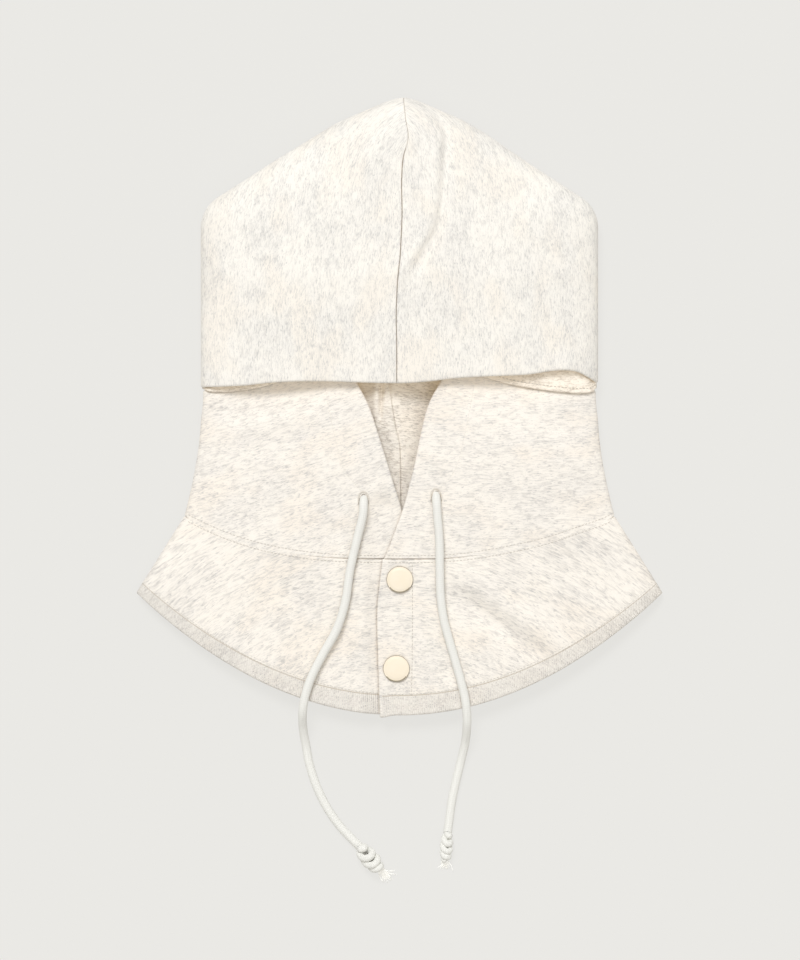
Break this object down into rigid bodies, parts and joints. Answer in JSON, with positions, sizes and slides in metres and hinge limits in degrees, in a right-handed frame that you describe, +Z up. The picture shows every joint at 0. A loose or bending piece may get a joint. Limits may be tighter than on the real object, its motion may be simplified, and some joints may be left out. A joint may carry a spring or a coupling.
{
  "type": "balaclava",
  "caption": "Hooded jersey balaclava laid flat, with a brim over a V-shaped face opening, a flared neck bib that snaps shut, and knotted drawcords.",
  "frame": {"origin": "On the floor, at the centre of the garment's outline seen from above, without its cords.", "axes": "+Y towards the peak of the hood, +X to the right as seen from above, +Z up from the floor that the garment's back lies on."},
  "size_m": [0.368, 0.5494, 0.041],
  "materials": {
    "shell_cloth": "brushed sweatshirt jersey, oatmeal fleck",
    "bib_cloth": "brushed sweatshirt jersey, oatmeal fleck",
    "lining": "soft jersey lining",
    "hem_band": "turned jersey hem, coverstitched",
    "drawcord": "round braided cotton cord",
    "stay_patch": "woven interfacing",
    "snap_cap": "satin cream resin",
    "snap_metal": "nickel-plated"
  },
  "bodies": {
    "root": {"bib_back": "bib_cloth", "bib_back_hem": "hem_band", "bib_left_front": "bib_cloth", "bib_left_hem": "hem_band", "bib_right_front": "bib_cloth", "bib_right_hem": "hem_band", "hood_back_left": "shell_cloth", "hood_back_left_lining": "lining", "hood_back_right": "shell_cloth", "hood_back_right_lining": "lining", "hood_crown_left": "shell_cloth", "hood_crown_left_lining": "lining", "hood_crown_right": "shell_cloth", "hood_crown_right_lining": "lining", "left_buttonhole_patch": "stay_patch", "left_tunnel_cord": "drawcord", "lower_snap_post": "snap_metal", "lower_snap_stud": "snap_metal", "neck_front_left": "shell_cloth", "neck_front_left_lining": "lining", "neck_front_right": "shell_cloth", "neck_front_right_lining": "lining", "right_buttonhole_patch": "stay_patch", "right_tunnel_cord": "drawcord", "rim_turn_left": "lining", "rim_turn_right": "lining", "underlap_facing": "bib_cloth", "upper_snap_post": "snap_metal", "upper_snap_stud": "snap_metal"},
    "brim": {"brim_left": "shell_cloth", "brim_left_lining": "lining", "brim_right": "shell_cloth", "brim_right_lining": "lining"},
    "overlap": {"neck_overlap": "shell_cloth", "neck_overlap_lining": "lining", "bib_overlap": "bib_cloth", "bib_overlap_hem": "hem_band", "overlap_facing": "bib_cloth", "upper_snap_cap": "snap_cap", "upper_snap_socket": "snap_metal", "lower_snap_cap": "snap_cap", "lower_snap_socket": "snap_metal"},
    "left_drawcord": {"left_cord": "drawcord", "left_knot": "drawcord"},
    "right_drawcord": {"right_cord": "drawcord", "right_knot": "drawcord"}
  },
  "joints": [
    {"name": "brim_lift", "type": "hinge", "parent": "root", "child": "brim", "pos_m": [0, 0.0895, 0.0413], "axis": [-1, 0, 0], "range_deg": [0, 50]},
    {"name": "overlap_peel", "type": "hinge", "parent": "root", "child": "overlap", "pos_m": [0.005, -0.073, 0.02618], "axis": [-0.2107, 0.9755, 0.0637], "range_deg": [0, 75]},
    {"name": "left_cord_pull", "type": "slide", "parent": "root", "child": "left_drawcord", "axis": [0, -1, 0], "range_m": [0, 0.025]},
    {"name": "right_cord_pull", "type": "slide", "parent": "root", "child": "right_drawcord", "axis": [0, -1, 0], "range_m": [0, 0.025]}
  ]
}
